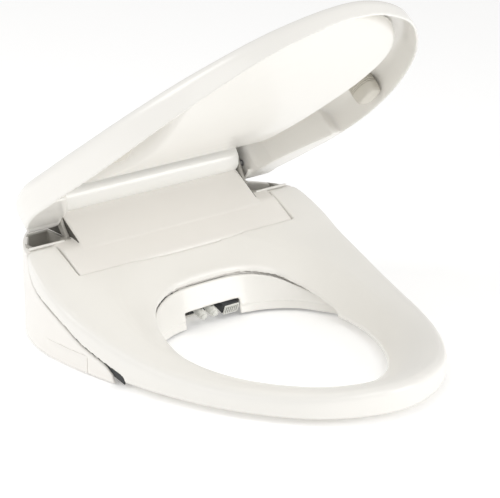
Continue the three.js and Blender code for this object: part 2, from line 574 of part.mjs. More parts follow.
// inner liner, a shallow pan inside the lid: right half of its plan, then its closed height
const LINER_PLAN = [
  [0, -441], [58, -424], [103, -388], [125, -340], [124, -290], [113, -240], [107, -190],
  [111, -140], [120, -98], [121, -62], [118, -33], [60, -24], [0, -24]];
const LINER = [
  [-500, 50], [-440, 48], [-400, 49], [-305, 58], [-220, 73], [-141, 97], [-94, 119], [-70, 134],
  [-41, 146], [60, 148]];
function linerPan(inset) {
  const low = (x, y) => curveAt(LINER, y) + inset;
  const ring = (d, up) => loop(LINER_PLAN, LID_N, -d - inset)
    .map((p) => new THREE.Vector3(p.x, p.y, low(p.x, p.y) + up));
  const base = ring(7, 0);
  const scaled = (f) => base.map((p) => {
    const y = DOME_Y + (p.y - DOME_Y) * f;
    return new THREE.Vector3(p.x * f, y, low(p.x * f, y));
  });
  const tall = ring(0, 0).map((p) => new THREE.Vector3(p.x, p.y, 230 + inset));
  return skin([scaled(0.1), scaled(0.34), scaled(0.6), scaled(0.84), ring(6, 1.2), ring(2, 5),
    ring(0.4, 11), tall], false);
}
const rollSweep = rodX(-220, 220, PIVOT_Y, PIVOT_Z, LID_SWEEP_R, 72)
  .add(box(-220, 220, -60, 80, 0, PIVOT_Z));
const liner = linerPan(0).subtract(linerPan(2.4)).intersect(lidDome(WALL + 0.8))
  .subtract(rollSweep).subtract(box(-220, 220, -33.5, 80, 0, 260));
add('lid_liner', opened(liner), SHELL_IN);

// ribbed bumpers in the channel between liner and lid wall
[['left', -1], ['right', 1]].forEach(([side, s]) => {
  const dome = [[0, 0], [8, 0.6], [11.4, 3], [12, 10], [12, 30], [0, 30]];
  const lathe = new THREE.LatheGeometry(dome.map(([r, z]) => new THREE.Vector2(r, z)), 16);
  lathe.rotateX(Math.PI / 2);
  let bumper = toSolid(lathe);
  for (let x = -9; x <= 9; x += 4.5) bumper = bumper.subtract(box(x, x + 1.6, -20, 20, -2, 1.6));
  bumper = bumper.scale([0.95, 1.25, 1]).rotate([0, 0, s * 14]).translate([s * 163, -241, 64])
    .intersect(lidDome(WALL + GAP));
  add(`lid_bumper_${side}`, opened(bumper), RUBBER);
});

// tray screws, driven from below
[['front_left', -146, -98], ['front_right', 146, -98], ['rear_left', -60, 24.5],
  ['rear_right', 60, 24.5]].forEach(([name, x, y]) => {
  add(`tray_screw_${name}`, rodZ(x, y, 4.4, TRAY_Z - GAP, 3.6, 16).add(rodZ(x, y, 5, 14, 1.5, 12)), STEEL);
});
export default group;
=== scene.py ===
# Electric bidet seat with a half-open lid: visual model, materials, light and camera.
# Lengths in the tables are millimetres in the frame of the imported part; meshes are made in metres.
import json
import math

import bpy
import bmesh
import numpy as np
from mathutils import Matrix, Vector


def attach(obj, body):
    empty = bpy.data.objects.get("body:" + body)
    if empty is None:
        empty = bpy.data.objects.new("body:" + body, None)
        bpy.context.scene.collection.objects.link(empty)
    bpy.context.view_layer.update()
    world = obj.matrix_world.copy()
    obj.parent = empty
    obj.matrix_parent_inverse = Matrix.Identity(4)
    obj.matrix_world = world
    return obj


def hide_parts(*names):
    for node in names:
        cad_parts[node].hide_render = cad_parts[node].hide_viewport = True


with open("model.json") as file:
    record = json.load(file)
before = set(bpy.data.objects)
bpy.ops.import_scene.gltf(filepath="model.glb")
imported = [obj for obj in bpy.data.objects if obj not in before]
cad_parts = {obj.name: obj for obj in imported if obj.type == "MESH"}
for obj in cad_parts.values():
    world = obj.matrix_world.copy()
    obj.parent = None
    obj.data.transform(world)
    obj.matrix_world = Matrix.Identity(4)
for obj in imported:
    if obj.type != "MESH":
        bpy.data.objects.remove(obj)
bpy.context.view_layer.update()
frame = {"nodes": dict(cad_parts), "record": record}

MM = 0.001

# ------------------------------------------------------------------ driving dimensions, as in the part
GAP = 0.4                         # running gap between touching pieces
WALL = 2.8                        # moulded wall thickness
PIVOT = (-36.0, 128.0)            # y and z of the hinge axis of seat and lid
LID_ANGLE = 48.9                  # degrees the lid stands open at rest
DECK_Z = 98.0                     # flat top of the housing beside the tower
FLOOR_Z = 1.0                     # lower edge of the housing walls
TOWER_HALF = 121.0                # half width of the tower
PANEL_HALF = 144.6                # half width of the sloping panel between the seat's ears
SEAM_Y = -112.0                   # joint between panel and seat
EAR_Y = -64.5                     # rear edge of the seat's ears
ROLL = (-28.0, 136.0, 18.0)       # y, z and radius of the roll on top of the tower
PIN_R = 3.2
SWEEP_R = 31.0                    # clearance radius of the lid round the hinge axis
BARREL_R = 19.0                   # outside radius of the lid round the hinge axis
KNUCKLE_R = 18.0                  # radius of its bosses round the pins
APRON_T = 2.6
DOME_Y = -215.0                   # middle of the lid along its length
RING_N = 312                      # points round an outline
HOUSING_IN = 0.6                  # the housing walls stand this far inside the seat's outline
LID_OUT = 1.6                     # the lid's skirt stands this far outside it
FAR = 220.0                       # half width of the solids used to trim others
REAR = 80.0                       # y behind everything, for the same purpose
SEAT_GAP_X = 1.6                  # joint between the sloping panel and the seat, at the sides
SEAT_GAP_Y = 0.3                  # and in front
EAR_GAP = 2.2                     # gap behind the seat's ears
POCKET_OUTER = (121, 170, -60, -18, 74, 96)            # x, y and z limits of a deck pocket's walls
POCKET_INNER = (123.5, 167.5, -57.5, -20.5, 77, 120)
COVER = (-183, -112, 20.5)        # y limits and top of the opening for the filter cartridge
BUTTON = (-84, 36, 9.6)           # y, z and radius of the release button's hole
GLAND = (92, 20, 7.6)             # x, z and radius of the cord gland's hole
SLOT = (37, 20.2)                 # half width and top of the nozzle slot
APRON_LEAN = 0.33                 # how far the apron leans per millimetre of height
APRON_LEAN_Z = 46.0               # the height that the lean leaves in place
LID_MIDDLE = TOWER_HALF + 6.4     # the lid is open between here and -LID_MIDDLE, round the tower
LID_REAR = -33.5                  # y behind which that middle is cut away
BUMPER = (163, -241, 64)          # tip of the right-hand lid bumper, with the lid shut
BUMPER_TURN = 14                  # degrees about the vertical
BUMPER_HALF = (11.5, 15.0)        # half sizes across and along, before the turn

# Right-hand half of the seat's outline, from the nose to the back.
OUTLINE = [(0, -463), (76.5, -435.4), (132.4, -369.4), (165, -295.3), (183.3, -216), (192, -148.5),
           (190.5, -95), (173, -45), (140, -3), (95, 27), (50, 40), (0, 43)]
# Opening of the seat, with the height of its upper edge.
OPENING = [(0, -402, 13), (40, -388, 13), (76, -345, 12), (98, -295, 12), (106, -240, 16),
           (100, -191, 30), (84, -163, 42), (62, -149, 50), (44, -144, 53), (28, -142.5, 55),
           (14, -142, 56), (0, -142, 56)]
# Side views as (y, z): top of the seat, joint between seat and cheeks, skirt and edge of the shut lid.
CROWN = [(-480, 36), (-463, 35), (-420, 31), (-350, 29), (-282, 32), (-235, 39), (-188, 50),
         (-141, 65), (-112, 79), (-94, 88), (-81, 94.5), (-72, 98.4), (-62, 101), (60, 102)]
SEAM = [(-229, 11), (-204, 19), (-174, 29), (-140, 45.5), (-112, 57), (-100, 61), (-84, 69),
        (-75, 79), (-70, 90), (-66.5, DECK_Z)]
LID_RIM = [(-500, 33), (-463, 33), (-400, 36), (-305, 47), (-220, 62), (-141, 82), (-94, 95.5), (-60, 106)]
LID_EDGE = [(-500, 55), (-463, 57), (-400, 65), (-305, 82), (-220, 100.5), (-141, 120), (-94, 133),
            (-60, 140), (-41, 143), (60, 146)]
# Rise of the lid's middle above its edge.
LID_CROWN = [(-460, 5), (-300, 7), (-150, 9), (-60, 15), (40, 18)]
# Outline and height of the liner, and the curve of the apron seen from above.
LINER_PLAN = [(0, -441), (58, -424), (103, -388), (125, -340), (124, -290), (113, -240), (107, -190),
              (111, -140), (120, -98), (121, -62), (118, -33), (60, -24), (0, -24)]
LINER = [(-500, 50), (-440, 48), (-400, 49), (-305, 58), (-220, 73), (-141, 97), (-94, 119),
         (-70, 134), (-41, 146), (60, 148)]
APRON = [(0, -141), (44, -143.5), (70, -152), (94, -170), (112, -200), (128, -231), (150, -262)]


# ------------------------------------------------------------------ curves
def curve_at(table, xs):
    """Smooth curve through a table of pairs, with no overshoot between its points."""
    t = np.asarray(table, float)
    x = np.clip(np.asarray(xs, float), t[0, 0], t[-1, 0])
    h = np.diff(t[:, 0])
    s = np.diff(t[:, 1]) / h
    m = np.zeros(len(t))
    m[0], m[-1] = s[0], s[-1]
    prod = s[:-1] * s[1:]
    total = s[:-1] + s[1:]
    m[1:-1] = np.where(prod > 0, 2 * prod / np.where(total == 0, 1, total), 0)
    i = np.clip(np.searchsorted(t[:, 0], x, side="right") - 1, 0, len(h) - 1)
    u = (x - t[i, 0]) / h[i]
    return ((2 * u**3 - 3 * u**2 + 1) * t[i, 1] + (u**3 - 2 * u**2 + u) * h[i] * m[i]
            + (-2 * u**3 + 3 * u**2) * t[i + 1, 1] + (u**3 - u**2) * h[i] * m[i + 1])


def spline(points, n, closed):
    """n points on a centripetal Catmull-Rom curve through the given points."""
    p = np.asarray(points, float)
    count = len(p)
    out = []
    spans = count if closed else count - 1
    for k in range(n if closed else n + 1):
        t = spans * k / n
        i = min(int(math.floor(t)), spans - 1)
        w = t - i
        if closed:
            p0, p1, p2, p3 = (p[(i - 1) % count], p[i % count], p[(i + 1) % count], p[(i + 2) % count])
        else:
            p1, p2 = p[i], p[i + 1]
            p0 = p[i - 1] if i > 0 else 2 * p1 - p2
            p3 = p[i + 2] if i + 2 < count else 2 * p2 - p1
        d0, d1, d2 = (max(np.linalg.norm(b - a) ** 0.5, 1e-4) for a, b in ((p0, p1), (p1, p2), (p2, p3)))
        t1 = ((p1 - p0) / d0 - (p2 - p0) / (d0 + d1) + (p2 - p1) / d1) * d1
        t2 = ((p2 - p1) / d1 - (p3 - p1) / (d1 + d2) + (p3 - p2) / d2) * d1
        out.append(p1 + t1 * w + (3 * (p2 - p1) - 2 * t1 - t2) * w**2 + (2 * (p1 - p2) + t1 + t2) * w**3)
    return np.array(out)


def loop(half, n, grow=0.0):
    """A mirrored half table as a closed loop of n points, moved outwards by grow."""
    right = [(*p, 0)[:3] for p in half]
    left = [(-x, y, z) for x, y, z in reversed(right[1:-1])]
    pts = spline(right + left, n, True)
    if grow:
        d = np.roll(pts, -1, 0) - np.roll(pts, 1, 0)
        length = np.hypot(d[:, 0], d[:, 1])
        pts = pts.copy()
        pts[:, 0] += grow * d[:, 1] / length
        pts[:, 1] -= grow * d[:, 0] / length
    return pts


def arc(cy, cz, r, start, end, n):
    """n + 1 points on a circle between two angles in degrees."""
    a = np.radians(np.linspace(start, end, n + 1))
    return [(cy + r * math.cos(v), cz + r * math.sin(v)) for v in a]


# ------------------------------------------------------------------ meshes
def from_data(verts, faces):
    """A new object from millimetre points, with its faces turned outwards."""
    mesh = bpy.data.meshes.new("tmp")
    mesh.from_pydata([tuple(np.asarray(v, float) * MM) for v in verts], [], faces)
    bm = bmesh.new()
    bm.from_mesh(mesh)
    bmesh.ops.triangulate(bm, faces=[f for f in bm.faces if len(f.verts) > 4])
    bmesh.ops.recalc_face_normals(bm, faces=bm.faces)
    bm.to_mesh(mesh)
    bm.free()
    obj = bpy.data.objects.new("tmp", mesh)
    bpy.context.scene.collection.objects.link(obj)
    return obj


def skin(rows, joined):
    """A closed surface over rows of points, joined end to end or capped at both ends."""
    n = len(rows[0])
    verts = np.concatenate(rows).tolist()
    faces = []
    steps = len(rows) if joined else len(rows) - 1
    for r in range(steps):
        s = (r + 1) % len(rows)
        for i in range(n):
            j = (i + 1) % n
            faces.append((r * n + i, r * n + j, s * n + j, s * n + i))
    if not joined:
        for r in (0, len(rows) - 1):
            verts.append(np.mean(rows[r], axis=0).tolist())
            k = len(verts) - 1
            for i in range(n):
                faces.append((k, r * n + i, r * n + (i + 1) % n))
    return from_data(verts, faces)


def prism(points, lo, hi, place):
    n = len(points)
    verts = [place(p, lo) for p in points] + [place(p, hi) for p in points]
    faces = [tuple(range(n)), tuple(range(n, 2 * n))]
    faces += [(i, (i + 1) % n, n + (i + 1) % n, n + i) for i in range(n)]
    return from_data(verts, faces)


def prism_z(points, z0, z1):
    return prism([(p[0], p[1]) for p in points], z0, z1, lambda p, z: (p[0], p[1], z))


def prism_x(points, x0, x1):
    return prism(points, x0, x1, lambda p, x: (x, p[0], p[1]))


def block(x0, x1, y0, y1, z0, z1):
    return prism_z([(x0, y0), (x1, y0), (x1, y1), (x0, y1)], z0, z1)


def rod_x(x0, x1, y, z, r, n=64):
    return prism_x(arc(y, z, r, 0, 360 * (n - 1) / n, n - 1), x0, x1)


def apply_modifiers(obj):
    """Turns the object's modifiers into its mesh."""
    depsgraph = bpy.context.evaluated_depsgraph_get()
    mesh = bpy.data.meshes.new_from_object(obj.evaluated_get(depsgraph))
    old = obj.data
    obj.modifiers.clear()
    obj.data = mesh
    bpy.data.meshes.remove(old)
    return obj


def combine(a, b, how):
    """Boolean of a with b, which is used up."""
    m = a.modifiers.new("cut", "BOOLEAN")
    m.operation = how
    m.object = b
    m.solver = "MANIFOLD"
    apply_modifiers(a)
    bpy.data.objects.remove(b)
    return a


def cut(a, *others):
    for b in others:
        combine(a, b, "DIFFERENCE")
    return a


def join(a, *others):
    for b in others:
        combine(a, b, "UNION")
    return a


def keep(a, b):
    return combine(a, b, "INTERSECT")


def mirrored(make):
    """The piece made for the right-hand side and its mirror image."""
    out = [make()]
    other = make()
    other.data.transform(Matrix.Scale(-1, 4, Vector((1, 0, 0))))
    other.data.flip_normals()
    return out + [other]


def mould(obj, name, voxel, rounds):
    """Turns a cut solid into one even skin with softly rounded edges, as a moulding has."""
    m = obj.modifiers.new("skin", "REMESH")
    m.mode = "VOXEL"
    m.voxel_size = voxel * 1.0 * MM
    m = obj.modifiers.new("round", "SMOOTH")
    m.factor = 0.5
    m.iterations = rounds
    apply_modifiers(obj)
    obj.data.polygons.foreach_set("use_smooth", [True] * len(obj.data.polygons))
    obj.name = name
    obj.data.name = name
    return obj


# ------------------------------------------------------------------ seat
SEAT_LOW = -30.0                  # the seat's walls run down to here before they are trimmed
LIP_REACH = 46.0                  # width of the slope round the opening
SEAT_SPOTS = (0.012, 0.03, 0.06, 0.1, 0.15, 0.22, 0.3, 0.38, 0.48, 0.58, 0.68, 0.78, 0.86)
SEAT_EDGE = ((9.0, 0.35), (6.5, 0.9), (4.2, 1.8), (2.4, 3.2), (1.1, 5.0), (0.3, 7.2))


def seat_ring(inset):
    """Solid ring with the seat's contoured top, made smaller by inset."""
    outer = loop(OUTLINE, RING_N, -inset)
    inner = loop(OPENING, RING_N, inset)
    lip = loop(OPENING, RING_N)[:, 2]
    span = np.hypot(outer[:, 0] - inner[:, 0], outer[:, 1] - inner[:, 1])

    def at(f):
        p = inner[:, :2] + (outer[:, :2] - inner[:, :2]) * np.asarray(f)[..., None]
        reach = np.minimum(1, np.hypot(*(p - inner[:, :2]).T) / LIP_REACH)
        rise = 1 - (1 - reach) ** 2
        return np.column_stack([p, lip + (curve_at(CROWN, p[:, 1]) - lip) * rise - inset])

    def down(p, z):
        return np.column_stack([p[:, :2], np.broadcast_to(z, len(p))])

    rows = [down(inner, SEAT_LOW), down(inner, inner[:, 2] - inset - 3)]
    for f in SEAT_SPOTS:
        rows.append(at(np.full(RING_N, f)))
    for back, drop in SEAT_EDGE:
        row = at(1 - back / span)
        row[:, 2] -= drop * np.interp(row[:, 1], (-150, -80), (1.0, 0.3))
        rows.append(row)
    rows.append(down(outer, curve_at(CROWN, outer[:, 1]) - 10.0 - inset))
    rows.append(down(outer, SEAT_LOW))
    return skin(rows[::-1], True)


def above_seam(lift):
    """All the space above the joint between the seat and the cheeks."""
    side = [(y - lift * 0.3, z + lift) for y, z in SEAM]
    tip = [(-500, 4.5 + lift), (-236, 4.5 + lift), (-235, 11), (-230, 14.5)]
    pts = tip + side[1:] + [(side[-1][0], 200), (-500, 200)]
    return prism_x(pts, -FAR, FAR)


def panel_space(grow):
    half = PANEL_HALF + SEAT_GAP_X + grow
    return block(-half, half, SEAM_Y - SEAT_GAP_Y - grow, REAR, -40, 200)


def behind_space(grow):
    return block(-FAR, FAR, EAR_Y - EAR_GAP - grow, REAR, -40, 200)


def make_seat():
    """Upper moulding of the seat: the ring with the panel's space and the ears' rear cut away."""
    body = cut(keep(seat_ring(0), above_seam(2.4)), panel_space(0), behind_space(0))
    hollow = cut(seat_ring(WALL), panel_space(WALL), behind_space(WALL))
    return mould(cut(body, hollow), "seat_top_skin", 1.5, 5)


# ------------------------------------------------------------------ housing
def apron_curve(back):
    """The apron's curve from left to right, moved back by a distance."""
    half = [(x, y, 0) for x, y in APRON]
    pts = spline([(-x, y, 0) for x, y, _ in reversed(half[1:])] + half, 90, False)
    d = np.gradient(pts, axis=0)
    length = np.hypot(d[:, 0], d[:, 1])
    return [(p[0] - back * t[1] / s, p[1] + back * t[0] / s) for p, t, s in zip(pts, d, length)]


def bowl_side(back):
    """All the space on the bowl's side of the apron."""
    pts = [(-250, -300), (250, -300), (250, -261)] + apron_curve(back)[::-1] + [(-250, -261)]
    return prism_z(pts, -30, 200)


def seam_profile(drop):
    """Side view of the housing's cheeks and deck, lowered by drop."""
    nose = [(-224, -20), (-222, FLOOR_Z), (-219, 9), (-213, 14.5)]
    return nose + [(y + drop * 0.3, z - drop) for y, z in SEAM[1:]] + [
        (60, DECK_Z - drop), (60, -20)]


def panel_profile(drop):
    """Side view of the sloping panel, from the joint with the seat up to the deck."""
    return [(SEAM_Y + drop, 30), (SEAM_Y + drop, 76.6 - drop), (SEAM_Y + 1 + drop, 78.2 - drop),
            (SEAM_Y + 3 + drop, 79.6 - drop), (-82.5 + drop, 95.6 - drop), (-79 + drop, 97 - drop),
            (-62, 100.4 - drop), (-60, 100 - drop), (-58.5, DECK_Z - drop), (-40, DECK_Z - drop), (-40, 30)]


def tower_profile(drop):
    """Side view of the tower that carries the roll."""
    return [(-84 + drop, 80), (-84 + drop, 95.2 - drop), (-43 + drop, 122.2 - drop),
            (-39 + drop, 124 - drop), (-30, 125 - drop), (-12 - drop, 125 - drop),
            (-10 - drop, 121 - drop), (-10 - drop, 80)]


def plan(inset, z0, z1):
    """Solid with the seat's outline, made smaller by inset."""
    return prism_z(loop(OUTLINE, RING_N, -inset), z0, z1)


def make_housing():
    """Hollow moulding: cheeks, sloping panel, tower and deck pockets, with its openings."""
    body = keep(plan(HOUSING_IN, FLOOR_Z, 180), prism_x(seam_profile(0), -FAR, FAR))
    join(body, prism_x(panel_profile(0), -PANEL_HALF, PANEL_HALF),
         prism_x(tower_profile(0), -TOWER_HALF, TOWER_HALF))
    hollow = keep(plan(HOUSING_IN + WALL, -10, 180), prism_x(seam_profile(WALL), -FAR, FAR))
    join(hollow, prism_x(panel_profile(WALL), -PANEL_HALF + WALL, PANEL_HALF - WALL),
         prism_x(tower_profile(WALL), -TOWER_HALF + WALL, TOWER_HALF - WALL))
    cut(body, hollow)
    join(body, *[keep(b, plan(HOUSING_IN, 60, 140)) for b in mirrored(lambda: block(*POCKET_OUTER))])
    cut(body, *[keep(b, plan(HOUSING_IN + 2 * WALL, 60, 140))
                for b in mirrored(lambda: block(*POCKET_INNER))])
    cut(body, bowl_side(APRON_T + GAP),
        block(-200, -150, COVER[0] - GAP, COVER[1] - 1, -5, COVER[2] - 0.8),
        rod_x(180, 200, *BUTTON),
        prism(arc(*GLAND, 0, 352.5, 47), 16.4, 60, lambda p, y: (p[0], y, p[1])))
    return mould(body, "housing_skin", 1.4, 4)


def make_apron():
    """Leaning wall towards the bowl, with a lower lip set back and the slot for the nozzles."""
    body = prism_z(apron_curve(0) + apron_curve(APRON_T)[::-1], 12.4, 60)
    join(body, prism_z(apron_curve(1.5) + apron_curve(APRON_T + 1.5)[::-1], 3, 14.5))
    top = [(-300, -20), (-300, 4), (-236, 4)] + [(y - 0.2, z - 0.4) for y, z in SEAM]
    top += [(60, 97), (60, -20)]
    keep(body, prism_x(top, -FAR, FAR))
    keep(body, plan(HOUSING_IN + WALL + GAP, -10, 180))
    cut(body, block(-SLOT[0], SLOT[0], -170, -130, -10, SLOT[1]))
    for v in body.data.vertices:
        v.co.y += APRON_LEAN * (v.co.z - APRON_LEAN_Z * MM)
    clear = cut(keep(seat_ring(-GAP), above_seam(1.3 - GAP)), panel_space(-GAP))
    cut(body, clear)
    keep(body, block(-FAR, FAR, -228, 0, 0, 200))
    return mould(body, "apron_skin", 0.9, 3)


def make_roll():
    """Hollow half-round cover on top of the tower, with a hole for the pin at each end."""
    y, z, r = ROLL
    body = prism_x(arc(y, z, r, 236, -35, 72) + [(-30, 125.6)], -TOWER_HALF, TOWER_HALF)
    hollow = prism_x(arc(y, z, r - WALL, 205, -25, 60) + [(-16, 120), (-36, 120)],
                     -TOWER_HALF + WALL, TOWER_HALF - WALL)
    cut(body, hollow, rod_x(TOWER_HALF - WALL - 1, 130, *PIVOT, PIN_R + GAP),
        rod_x(-130, -TOWER_HALF + WALL + 1, *PIVOT, PIN_R + GAP))
    return mould(body, "roll_skin", 1.1, 6)


# ------------------------------------------------------------------ lid
LID_EDGE_STEPS = ((0, 14), (0.3, 10.5), (1.2, 7.4), (2.7, 4.8), (4.8, 2.6), (7.6, 1.0))
LID_SPOTS = (0.93, 0.86, 0.78, 0.68, 0.56, 0.44, 0.32, 0.2, 0.1)
LINER_SPOTS = (0.08, 0.2, 0.34, 0.48, 0.62, 0.76, 0.88, 0.96)
LINER_EDGE_STEPS = ((6, 0.5), (4.6, 1.5), (3.2, 3.0), (1.8, 5.4), (0.8, 8.6), (0.2, 13.0))


def lid_dome(inset):
    """Solid dome of the shut lid, made smaller by inset."""
    rim = loop(OUTLINE, RING_N, LID_OUT - inset)
    edge = curve_at(LID_EDGE, rim[:, 1])

    def step_in(d, drop):
        p = loop(OUTLINE, RING_N, LID_OUT - inset - d)
        return np.column_stack([p[:, :2], edge - drop - inset])

    rows = [np.column_stack([rim[:, :2], np.full(RING_N, -40.0 - inset)])]
    for d, drop in LID_EDGE_STEPS:
        rows.append(step_in(d, drop))
    for f in LID_SPOTS:
        x = rim[:, 0] * f
        y = DOME_Y + (rim[:, 1] - DOME_Y) * f
        z = curve_at(LID_EDGE, y) + curve_at(LID_CROWN, y) * (1 - f * f) - inset
        rows.append(np.column_stack([x, y, z]))
    return skin(rows, False)


def lid_profile(inset):
    """Side view of the shut lid: its rim, its rear and the barrel round the hinge."""
    rear = [(-36 - inset, 220), (-30 - inset, 170), (-20 - inset, 147), (-14.5 - inset, 134)]
    rear += arc(*PIVOT, BARREL_R - inset, 14, -125, 40)
    rim_y = np.linspace(-463, -60, 40)
    rim = [(y, float(curve_at(LID_RIM, y)) - inset * 6) for y in rim_y]
    return prism_x([(-520, 220), (-520, 34)] + rim + rear[::-1], -FAR, FAR)


def opened(obj):
    """Turns a piece of the shut lid about the hinge to where the lid stands at rest."""
    turn = (Matrix.Translation((0, PIVOT[0] * MM, PIVOT[1] * MM))
            @ Matrix.Rotation(-math.radians(LID_ANGLE), 4, "X")
            @ Matrix.Translation((0, -PIVOT[0] * MM, -PIVOT[1] * MM)))
    obj.data.transform(turn)
    return obj


# Radius of the knuckle along X, and the plan of the solid corner behind it.
KNUCKLE = [(131.6, 7), (132, 10.5), (133, 13.4), (134.8, 15.8), (137.4, 17.3),
           (141, KNUCKLE_R), (176, KNUCKLE_R)]
CHEEK = [(131.5, -6), (131.5, -40), (133, -56), (139, -76), (154, -104), (178, -143),
         (200, -143), (200, -6)]


def knuckle():
    """Rounded boss round the pin, in a corner of the lid."""
    turn = np.linspace(0, 2 * math.pi, 73)[:-1]
    rows = [np.column_stack([np.full(72, x), PIVOT[0] + r * np.cos(turn), PIVOT[1] + r * np.sin(turn)])
            for x, r in KNUCKLE]
    return skin(rows, False)


def cheek_wall():
    """Solid that fills a rear corner of the lid."""
    side = [(-160, 220), (-160, 76), (-141, 82), (-94, 95.5), (-40, 109)]
    side += arc(*PIVOT, KNUCKLE_R, -100, 14, 40) + [(-20, 220)]
    return keep(prism_z(CHEEK, 40, 220), prism_x(side, 120, 210))


def make_lid():
    """Outer skin of the lid with its skirt, corners and knuckles."""
    solid = keep(lid_dome(0), lid_profile(0))
    corner = [keep(b, lid_dome(0.5)) for b in mirrored(cheek_wall)]
    cut(solid, keep(lid_dome(WALL), lid_profile(WALL)),
        block(-LID_MIDDLE, LID_MIDDLE, LID_REAR, 60, 0, 260),
        rod_x(-LID_MIDDLE, LID_MIDDLE, *PIVOT, SWEEP_R, 120))
    join(solid, *corner)
    join(solid, *[keep(b, lid_dome(1)) for b in mirrored(knuckle)])
    cut(solid, *mirrored(lambda: rod_x(110, 164, *PIVOT, PIN_R + GAP)))
    return mould(opened(solid), "lid_skin", 1.5, 6)


def liner_pan(inset):
    """Solid bowl of the liner, made smaller by inset."""
    def low(y):
        return curve_at(LINER, y) + inset

    def ring(d, up):
        p = loop(LINER_PLAN, RING_N, -d - inset)
        return np.column_stack([p[:, :2], low(p[:, 1]) + up])

    base = ring(7, 0)
    rows = []
    for f in LINER_SPOTS:
        y = DOME_Y + (base[:, 1] - DOME_Y) * f
        rows.append(np.column_stack([base[:, 0] * f, y, low(y)]))
    for d, up in LINER_EDGE_STEPS:
        rows.append(ring(d, up))
    top = ring(0, 0)
    top[:, 2] = 230 + inset
    rows.append(top)
    return skin(rows, False)


def make_liner():
    """Inner liner, cut back round the hinge."""
    pan = cut(liner_pan(0), liner_pan(2.4))
    keep(pan, lid_dome(WALL + 0.8))
    cut(pan, rod_x(-FAR, FAR, *PIVOT, SWEEP_R, 120), block(-FAR, FAR, -60, REAR, 0, PIVOT[1]),
        block(-FAR, FAR, LID_REAR, REAR, 0, 260))
    return mould(opened(pan), "liner_skin", 1.5, 5)


def make_bumper():
    """Moulded stop: a rounded block with a stack of thin ribs above a smooth tip."""
    stations = [(0, 0.62), (0.3, 0.78), (1.4, 0.88), (4, 0.95), (9, 0.99), (12.5, 1.0)]
    for t in np.arange(12.4, 30, 2.2):
        stations += [(t, 1.0), (t + 0.25, 0.93), (t + 0.75, 0.93), (t + 1.0, 1.0)]
    stations.append((31, 1.0))
    a = np.linspace(0, 2 * math.pi, 97)[:-1]
    c, s = np.cos(a), np.sin(a)
    across, along = BUMPER_HALF
    rows = [np.column_stack([across * k * np.sign(c) * np.abs(c) ** 0.7,
                             along * k * np.sign(s) * np.abs(s) ** 0.7, np.full(96, t)])
            for t, k in stations]
    body = skin(rows, False)
    body.data.transform(Matrix.Rotation(math.radians(BUMPER_TURN), 4, "Z"))
    body.data.transform(Matrix.Translation(Vector(BUMPER) * MM))
    return keep(body, lid_dome(WALL - 0.6))


def make_flange():
    """Raised lip along the rear edge of the seat's ear, carried by the hinge arm."""
    return mould(keep(block(131, 179, EAR_Y + 0.2, EAR_Y + 3.6, DECK_Z + 0.3, DECK_Z + 3.3),
                      plan(5, 60, 120)), "flange", 0.7, 3)


def make_pocket_shade_pan():
    """Grey pan in the deck pocket below the hinge, with a rim on the deck: painted shade in the pocket."""
    x0, x1, y0, y1, z0, z1 = POCKET_INNER
    pan = block(x0 + 0.2, x1 - 0.2, y0 + 0.2, y1 - 0.2, z0 + 0.2, DECK_Z - GAP)
    join(pan, block(TOWER_HALF + GAP, 172, -59.6, -16, DECK_Z - 1.2, DECK_Z + 0.9))
    cut(pan, block(x0 + 1.4, x1 - 1.4, y0 + 1.4, y1 - 1.4, z0 + 1.6, z1))
    keep(pan, plan(3.4, 60, 140))
    return mould(pan, "pocket", 0.8, 2)


def make_shade_plate():
    """Dark plate over the side of the tower and the end of the roll: painted shade where the lid's corner
    shades them.
    """
    x0, x1 = TOWER_HALF - 0.5, TOWER_HALF + 0.6
    plate = prism_x(tower_profile(0.7), x0, x1)
    join(plate, prism_x(arc(ROLL[0], ROLL[1], ROLL[2] - 0.7, 0, 355, 72), x0, x1))
    return cut(plate, rod_x(100, 140, *PIVOT, PIN_R + GAP), block(100, 140, -90, 0, 60, DECK_Z + 1.2))


def make_seam_shade():
    """Dark strip behind the joint between the seat and the cheeks: painted shade in the gap."""
    low = [(y + 1.5, z - 5) for y, z in SEAM]
    high = [(y - 2, z + 5) for y, z in SEAM]
    side = [(-233, 3)] + low[1:] + [(-66, DECK_Z - 5), (-66, DECK_Z - 2)]
    side += high[1:-1][::-1] + [(-226, 20), (-233, 13)]
    strip = keep(plan(3.3, 1.5, 130), prism_x(side, -FAR, FAR))
    return cut(strip, plan(4.7, -10, 140), block(-140, 140, -240, 0, 0, 140))


def make_link():
    """Arm beside the tower, from the pin down to the seat's ear."""
    y, z = PIVOT
    side = arc(y, z, 6.6, -75, 130, 24) + [(-51, 113), (EAR_Y + 5, 103), (EAR_Y + 5, DECK_Z + GAP),
                                           (EAR_Y + 11, DECK_Z + GAP)]
    arm = prism_x(side, TOWER_HALF + 1, TOWER_HALF + 5.4)
    join(arm, block(TOWER_HALF + 1, 133, EAR_Y + 1, EAR_Y + 8, DECK_Z + GAP, DECK_Z + 3))
    return mould(cut(arm, rod_x(100, 160, y, z, PIN_R + GAP)), "link", 0.7, 2)


